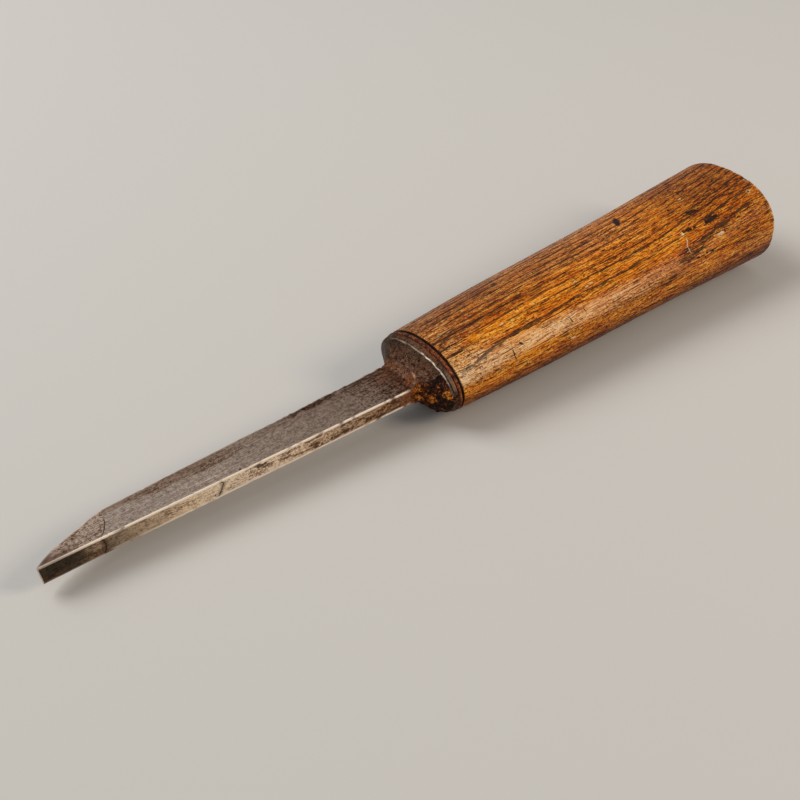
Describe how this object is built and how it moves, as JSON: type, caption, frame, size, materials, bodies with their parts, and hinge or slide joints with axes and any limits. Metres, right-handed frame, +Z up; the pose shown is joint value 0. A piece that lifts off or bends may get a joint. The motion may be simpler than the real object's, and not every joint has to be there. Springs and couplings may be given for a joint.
{
  "type": "mortise chisel",
  "caption": "Narrow mortise chisel lying on its side: deep tapering blade with a steel tip, oval bolster, leather washer and oval wood handle, for chopping mortises.",
  "frame": {"origin": "below the middle of the tool's box, on the plane that it lies on", "axes": "+X along the tool from the cutting edge to the striking end, +Z up from the side it lies on, and the flat back of the blade faces -Y"},
  "size_m": [0.283, 0.045, 0.0341],
  "materials": {
    "forged_iron": "old forged iron with brown patina, fine pits and rust by the bolster",
    "cast_steel": "ground and honed tool steel gone brown and mottled",
    "washer_leather": "compressed reddish brown leather, dark with oil",
    "oiled_ash": "worn amber ash with dark open pores, rubbed smooth by use"
  },
  "bodies": {
    "root": {"iron_blade": "forged_iron", "steel_tip": "cast_steel", "leather_washer": "washer_leather", "handle": "oiled_ash"}
  },
  "joints": []
}
